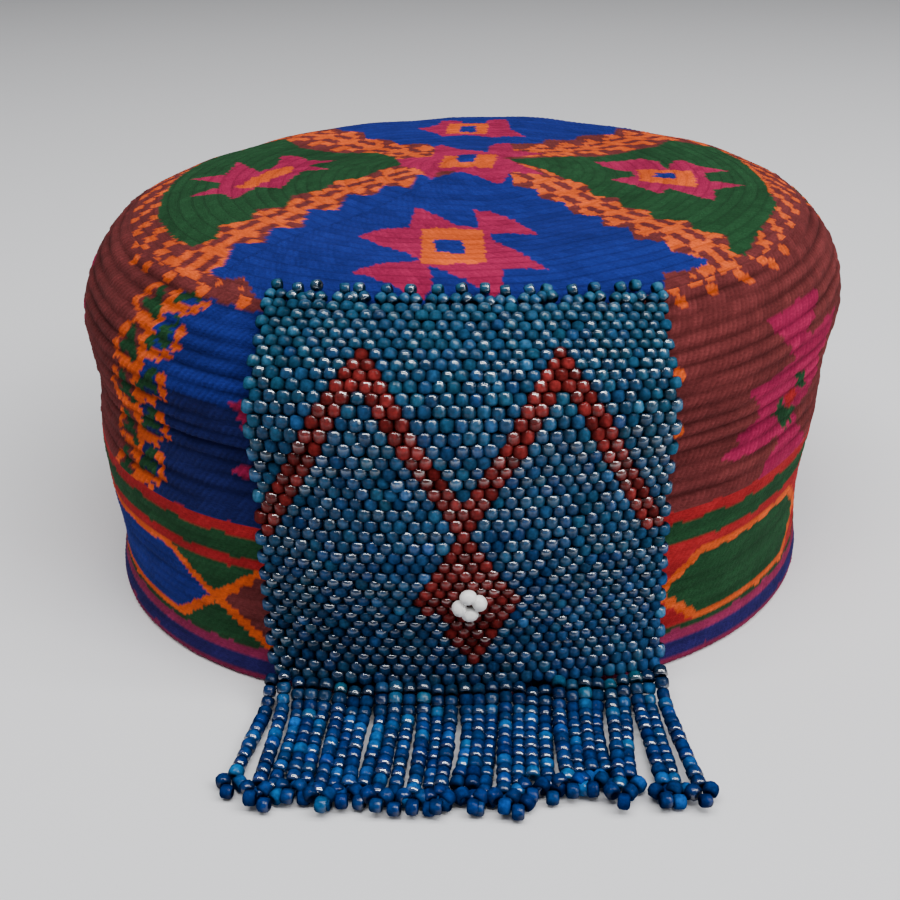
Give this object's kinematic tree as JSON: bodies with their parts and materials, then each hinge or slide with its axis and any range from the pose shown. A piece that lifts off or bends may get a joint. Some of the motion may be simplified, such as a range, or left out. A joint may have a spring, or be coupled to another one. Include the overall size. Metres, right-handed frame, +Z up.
{
  "type": "crocheted skullcap with bead panel",
  "caption": "Round flat-topped crocheted skullcap, open below, with a woven seed-bead panel down its front and a short bead fringe that lies on the table.",
  "frame": {"origin": "on the surface that the cap stands on, at the middle of the bounding box, fringe included", "axes": "+Z up, out of the crown; -Y towards the bead panel and its fringe; +X to the right seen from the front"},
  "size_m": [0.1921, 0.2165, 0.0963],
  "materials": {
    "wool": "matt crocheted wool in blue, maroon, green, orange, red and magenta",
    "glass_beads": "silver-lined glass seed beads, mostly teal blue"
  },
  "bodies": {
    "root": {"crocheted_cap": "wool", "bead_panel": "glass_beads", "bead_fringe": "glass_beads"}
  },
  "joints": []
}
